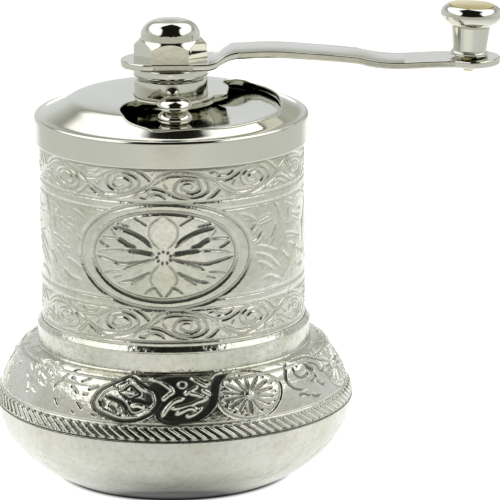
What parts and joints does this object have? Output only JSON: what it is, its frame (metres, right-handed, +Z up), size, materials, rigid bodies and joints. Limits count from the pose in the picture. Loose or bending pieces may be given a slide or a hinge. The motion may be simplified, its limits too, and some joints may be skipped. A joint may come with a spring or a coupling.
{
  "type": "hand-cranked spice mill",
  "caption": "Hand-cranked spice mill: engraved nickel-plated barrel on a round belly, domed cap with a turning filler shutter, flat crank with a turning knob.",
  "frame": {"origin": "on the mill's axis, at the level of the table that it stands on", "axes": "+Z up along the spindle; +X towards the crank's knob at rest; -Y is the front, where the shutter's finial is"},
  "size_m": [0.1043, 0.0736, 0.098],
  "materials": {
    "engraved_nickel": "nickel plate over engraved metal, dark in the cuts",
    "polished_nickel": "polished nickel plate",
    "brass": "polished",
    "bright_steel": "turned",
    "spring_steel": "drawn wire and strip",
    "burr_steel": "hardened, dark",
    "cast_carrier": "as cast"
  },
  "bodies": {
    "bowl": {"catch_bowl": "engraved_nickel"},
    "mill": {"burr_housing": "engraved_nickel", "hopper_barrel": "engraved_nickel", "top_cap": "polished_nickel", "spindle_bush": "polished_nickel", "shutter_washer": "spring_steel", "bush_nut": "bright_steel", "upper_bridge": "bright_steel", "bridge_screws": "bright_steel", "burr_carrier": "cast_carrier", "outer_burr": "burr_steel", "burr_retaining_ring": "spring_steel", "thrust_yoke": "bright_steel", "yoke_screws": "bright_steel", "burr_spring": "spring_steel"},
    "shutter": {"filler_shutter": "polished_nickel", "shutter_finial": "polished_nickel", "finial_nut": "bright_steel"},
    "thrust": {"thrust_pad": "burr_steel"},
    "adjuster": {"adjusting_screw": "bright_steel", "adjuster_wheel": "brass"},
    "spindle": {"spindle": "bright_steel", "inner_burr": "burr_steel", "burr_pin": "bright_steel", "spring_washer": "bright_steel", "crank_hub": "polished_nickel", "crank_arm": "polished_nickel", "dome_nut": "polished_nickel", "knob_rivet": "brass", "rivet_washer": "polished_nickel"},
    "knob": {"knob_grip": "polished_nickel"}
  },
  "joints": [
    {"name": "mill_lift", "type": "slide", "parent": "bowl", "child": "mill", "axis": [0, 0, 1], "range_m": [0, 0.04]},
    {"name": "shutter_turn", "type": "hinge", "parent": "mill", "child": "shutter", "pos_m": [0, 0, 0.0766], "axis": [0, 0, 1], "range_deg": [-30, 50]},
    {"name": "thrust_slide", "type": "slide", "parent": "mill", "child": "thrust", "axis": [0, 0, 1], "range_m": [0, 0.00061], "deforming": ["burr_spring"]},
    {"name": "adjuster_turn", "type": "hinge", "parent": "thrust", "child": "adjuster", "pos_m": [0, 0, 0.009], "axis": [0, 0, 1], "range_deg": [0, 276]},
    {"name": "crank_turn", "type": "hinge", "parent": "thrust", "child": "spindle", "pos_m": [0, 0, 0.05], "axis": [0, 0, 1], "continuous": true},
    {"name": "knob_spin", "type": "hinge", "parent": "spindle", "child": "knob", "pos_m": [0.06075, 0, 0.0869], "axis": [0.0523, 0, 0.9986], "continuous": true}
  ],
  "couplings": [
    {"joint": "adjuster_turn", "follows": "thrust_slide", "rad_per_m": 7854}
  ]
}
